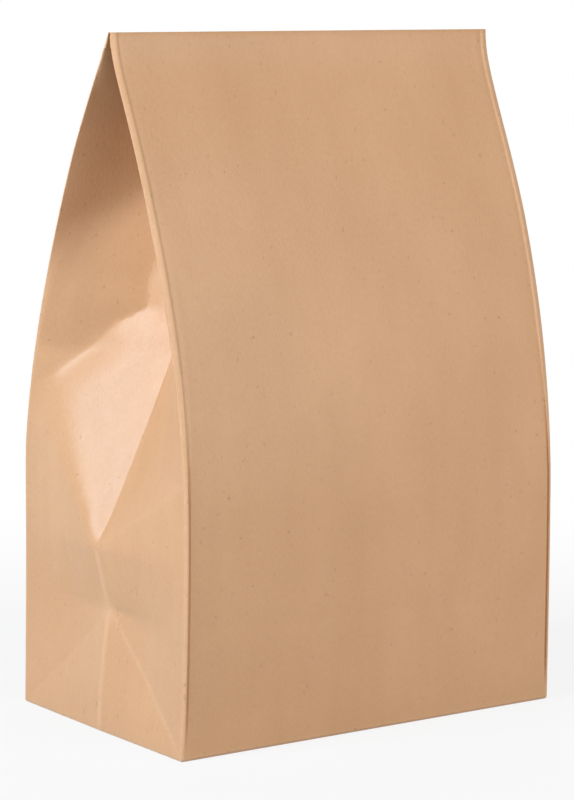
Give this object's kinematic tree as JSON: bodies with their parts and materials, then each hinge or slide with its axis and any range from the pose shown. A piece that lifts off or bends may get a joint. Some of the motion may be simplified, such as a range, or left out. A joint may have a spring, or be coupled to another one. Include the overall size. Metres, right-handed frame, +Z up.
{
  "type": "paper bag",
  "caption": "Plain brown kraft block-bottom bag with side gussets, standing with its mouth pinched flat.",
  "frame": {"origin": "middle of the underside, on the surface that the bag stands on", "axes": "+Z up to the mouth, -Y out of the front panel, +X and -X out of the two gussets"},
  "size_m": [0.184, 0.1222, 0.275],
  "materials": {
    "kraft_paper": "matt unbleached kraft paper"
  },
  "bodies": {
    "root": {"paper_bag": "kraft_paper"}
  },
  "joints": []
}
